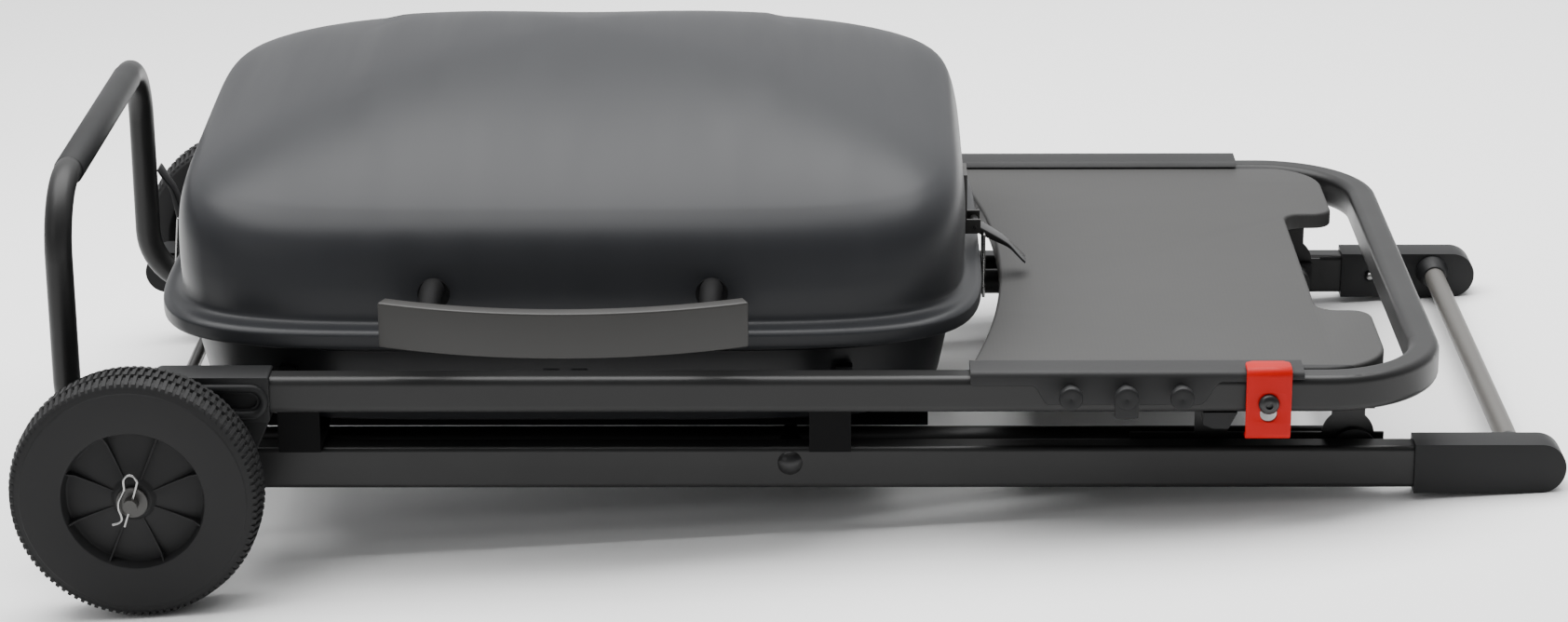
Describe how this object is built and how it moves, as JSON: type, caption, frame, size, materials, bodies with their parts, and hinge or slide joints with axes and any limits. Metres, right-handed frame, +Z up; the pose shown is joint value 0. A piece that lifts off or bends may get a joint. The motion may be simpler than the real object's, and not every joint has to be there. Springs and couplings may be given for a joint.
{
  "type": "gas barbecue grill",
  "caption": "Portable gas grill with a hinged lid and side table on a folding scissor cart with wheels, shown folded for towing.",
  "frame": {"origin": "centre of the footprint box, on the floor that the wheels and foot caps stand on, with the cart folded", "axes": "+X from the wheels towards the foot caps, +Y towards the lid hinge at the rear, +Z up"},
  "size_m": [1.105, 0.66, 0.3189],
  "materials": {
    "tube_black": "satin black powder coat",
    "wheel_black": "matte moulded plastic, lightly grained",
    "plastic_black": "matte moulded plastic",
    "table_grey": "fine moulded texture, mid grey",
    "lid_enamel": "cast aluminium under a satin charcoal coating with a fine tooth",
    "bowl_black": "cast aluminium under a satin black coating",
    "handle_dark": "satin dark grey plastic",
    "latch_red": "satin red",
    "cross_bar_grey": "satin warm grey",
    "steel_bright": "zinc plated",
    "steel_dark": "black oxide",
    "cast_iron": "seasoned cast iron",
    "steel_plain": "plain stainless",
    "valve_brass": "plain brass",
    "tray_aluminium": "pressed aluminium",
    "ceramic_white": "glazed",
    "button_red": "gloss red"
  },
  "bodies": {
    "axle": {"wheel_axle": "steel_dark", "axle_washers": "steel_dark", "axle_clips": "steel_bright"},
    "front_wheel": {"front_wheel": "wheel_black"},
    "rear_wheel": {"rear_wheel": "wheel_black"},
    "inner_leg": {"inner_leg_tube": "tube_black", "axle_bracket_front": "plastic_black", "axle_bracket_rear": "plastic_black", "slider_shaft": "steel_bright", "scissor_bolts": "steel_dark", "scissor_spacers": "plastic_black"},
    "sliders": {"slider_block_front": "plastic_black", "slider_block_rear": "plastic_black"},
    "outer_leg": {"outer_leg_tube_front": "tube_black", "outer_leg_tube_rear": "tube_black", "foot_cap_front": "plastic_black", "foot_cap_rear": "plastic_black", "foot_cross_bar": "cross_bar_grey", "cap_snap_buttons": "steel_bright"},
    "cart_top": {"top_frame_tube": "tube_black", "pivot_bracket_front": "steel_dark", "pivot_bracket_rear": "steel_dark", "leg_hinge_pins": "steel_dark", "slide_track_front": "tube_black", "slide_track_rear": "tube_black", "side_table": "table_grey", "tool_hooks": "plastic_black", "latch_bolt": "steel_dark", "latch_catch": "plastic_black", "cookbox": "bowl_black", "cookbox_supports": "tube_black", "burner_tube": "steel_plain", "heat_tent": "steel_plain", "gas_valve": "valve_brass", "igniter_electrode": "ceramic_white", "tray_rails": "steel_dark", "cooking_grate_left": "cast_iron", "cooking_grate_right": "cast_iron", "latch_keepers": "steel_dark", "lid_hinge_lower": "steel_dark"},
    "release_latch": {"release_latch": "latch_red"},
    "drip_tray": {"drip_tray": "tray_aluminium"},
    "control_knob": {"control_knob": "plastic_black"},
    "igniter_button": {"igniter_button": "button_red"},
    "lid": {"lid_shell": "lid_enamel", "lid_hinge_upper": "steel_dark", "lid_hinge_pins": "steel_bright", "lid_handle": "handle_dark", "handle_posts": "plastic_black", "latch_plate_left": "steel_dark", "latch_plate_right": "steel_dark"},
    "latch_lever_left": {"latch_lever_left": "steel_dark"},
    "latch_lever_right": {"latch_lever_right": "steel_dark"},
    "latch_bail_left": {"latch_bail_left": "steel_bright"},
    "latch_bail_right": {"latch_bail_right": "steel_bright"}
  },
  "joints": [
    {"name": "front_wheel_spin", "type": "hinge", "parent": "axle", "child": "front_wheel", "pos_m": [-0.46301, -0.298, 0.0895], "axis": [0, 1, 0], "continuous": true},
    {"name": "rear_wheel_spin", "type": "hinge", "parent": "axle", "child": "rear_wheel", "pos_m": [-0.46301, 0.298, 0.0895], "axis": [0, 1, 0], "continuous": true},
    {"name": "cart_fold", "type": "hinge", "parent": "axle", "child": "inner_leg", "pos_m": [-0.46301, 0, 0.0895], "axis": [0, -1, 0], "range_deg": [0, 36.24]},
    {"name": "scissor_pivot", "type": "hinge", "parent": "inner_leg", "child": "outer_leg", "pos_m": [-0.0042, 0, 0.05597], "axis": [0, -1, 0], "range_deg": [-68.01, 0]},
    {"name": "top_pivot", "type": "hinge", "parent": "outer_leg", "child": "cart_top", "pos_m": [-0.41142, 0, 0.08128], "axis": [0, -1, 0], "range_deg": [0, 34.01]},
    {"name": "slider_pivot", "type": "hinge", "parent": "inner_leg", "child": "sliders", "pos_m": [0.40301, 0, 0.03065], "axis": [0, -1, 0], "range_deg": [-34.01, 0]},
    {"name": "latch_release", "type": "slide", "parent": "cart_top", "child": "release_latch", "axis": [0.062, 0, 0.9981], "range_m": [0, 0.008], "stiffness_N_per_m": 400, "springref_m": -0.005},
    {"name": "tray_slide", "type": "slide", "parent": "cart_top", "child": "drip_tray", "axis": [0.9981, 0, -0.062], "range_m": [0, 0.2]},
    {"name": "knob_turn", "type": "hinge", "parent": "cart_top", "child": "control_knob", "pos_m": [0.13119, 0.095, 0.09163], "axis": [0.9981, 0, -0.062], "range_deg": [0, 110]},
    {"name": "igniter_press", "type": "slide", "parent": "cart_top", "child": "igniter_button", "axis": [-0.9981, 0, 0.062], "range_m": [0, 0.003], "stiffness_N_per_m": 300, "springref_m": -0.002},
    {"name": "lid_open", "type": "hinge", "parent": "cart_top", "child": "lid", "pos_m": [-0.15881, 0.252, 0.16377], "axis": [-0.9981, 0, 0.062], "range_deg": [0, 100]},
    {"name": "left_lever_fold", "type": "hinge", "parent": "lid", "child": "latch_lever_left", "pos_m": [-0.456, -0.03, 0.20228], "axis": [0, -1, 0], "range_deg": [0, 105]},
    {"name": "right_lever_fold", "type": "hinge", "parent": "lid", "child": "latch_lever_right", "pos_m": [0.14085, -0.03, 0.16518], "axis": [0, -1, 0], "range_deg": [-10, 105]},
    {"name": "left_bail_swing", "type": "hinge", "parent": "latch_lever_left", "child": "latch_bail_left", "pos_m": [-0.45911, -0.03, 0.21077], "axis": [0, -1, 0], "range_deg": [-100.1, 0]},
    {"name": "right_bail_swing", "type": "hinge", "parent": "latch_lever_right", "child": "latch_bail_right", "pos_m": [0.14755, -0.03, 0.15909], "axis": [0, -1, 0], "range_deg": [-100.1, 9.7]}
  ],
  "couplings": [
    {"joint": "scissor_pivot", "follows": "cart_fold", "ratio": -1.8765},
    {"joint": "top_pivot", "follows": "cart_fold", "ratio": 0.9382},
    {"joint": "slider_pivot", "follows": "cart_fold", "ratio": -0.9382},
    {"joint": "left_bail_swing", "follows": "left_lever_fold", "ratio": -0.95238},
    {"joint": "right_bail_swing", "follows": "right_lever_fold", "ratio": -0.95238}
  ]
}
